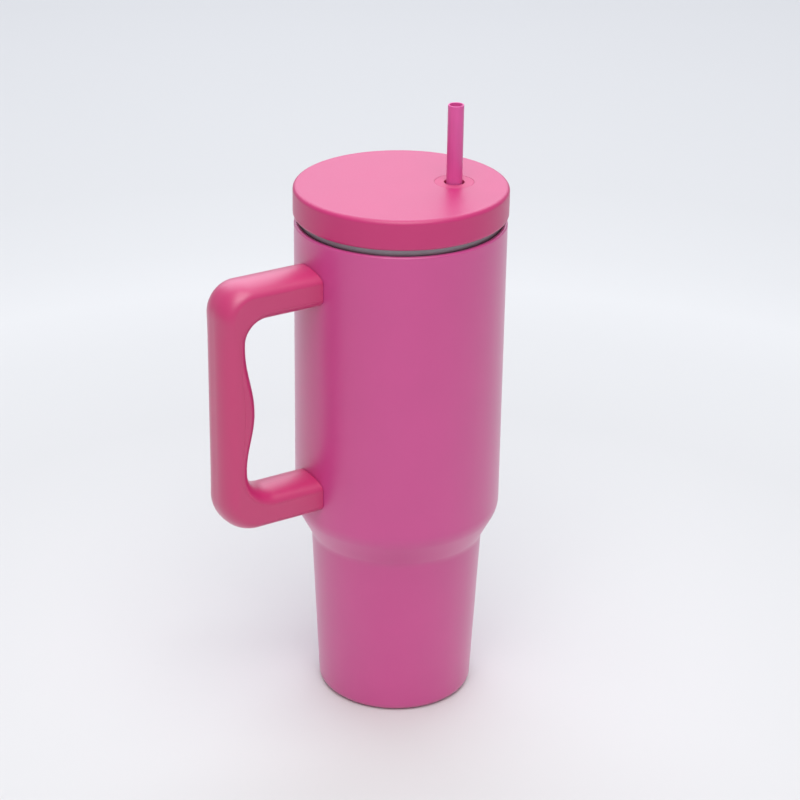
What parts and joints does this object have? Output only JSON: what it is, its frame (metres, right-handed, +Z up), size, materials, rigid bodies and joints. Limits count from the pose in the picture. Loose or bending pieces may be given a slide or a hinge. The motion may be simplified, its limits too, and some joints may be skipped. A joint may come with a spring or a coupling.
{
  "type": "insulated tumbler with lid",
  "caption": "Tall double-wall insulated cup with a narrow foot, a squared side handle, a flat press-in lid and an upright straw.",
  "frame": {"origin": "centre of the foot, on the cup's axis, in the plane that it stands on", "axes": "+Z up along the cup's axis, -X towards the middle of the handle"},
  "size_m": [0.151, 0.101, 0.3005],
  "materials": {
    "body_paint": "satin powder coat, fine texture",
    "base_paint": "satin powder coat on the recessed base cover",
    "steel": "turned and brushed stainless steel",
    "steel_plain": "plain pressed stainless steel",
    "foil": "thin reflective copper-coloured foil",
    "getter_metal": "pressed metal powder",
    "seal_glass": "dark solder glass",
    "handle_plastic": "matte moulded plastic",
    "lid_plastic": "matte moulded plastic, finely sparked top",
    "silicone": "soft matte silicone",
    "straw_plastic": "translucent tinted plastic"
  },
  "bodies": {
    "cup": {"outer_shell": "body_paint", "outer_bottom": "steel_plain", "base_cover": "base_paint", "inner_liner": "steel", "liner_foil": "foil", "getter": "getter_metal", "getter_clip": "steel_plain", "vacuum_seal": "seal_glass", "upper_bracket": "steel_plain", "lower_bracket": "steel_plain", "handle_outer": "handle_plastic", "handle_inner": "handle_plastic", "handle_screws": "steel_plain", "upper_plug": "silicone", "lower_plug": "silicone"},
    "seal": {"lid_seal": "silicone"},
    "lid": {"lid_cover": "lid_plastic", "lid_base": "lid_plastic", "straw_grommet": "silicone"},
    "straw": {"straw": "straw_plastic"}
  },
  "joints": [
    {"name": "lid_lift", "type": "slide", "parent": "cup", "child": "seal", "axis": [0, 0, 1], "range_m": [0, 0.25]},
    {"name": "lid_turn", "type": "hinge", "parent": "seal", "child": "lid", "pos_m": [0, 0, 0.25], "axis": [0, 0, 1], "continuous": true},
    {"name": "straw_slide", "type": "slide", "parent": "lid", "child": "straw", "axis": [0, 0, 1], "range_m": [0, 0.29]}
  ]
}
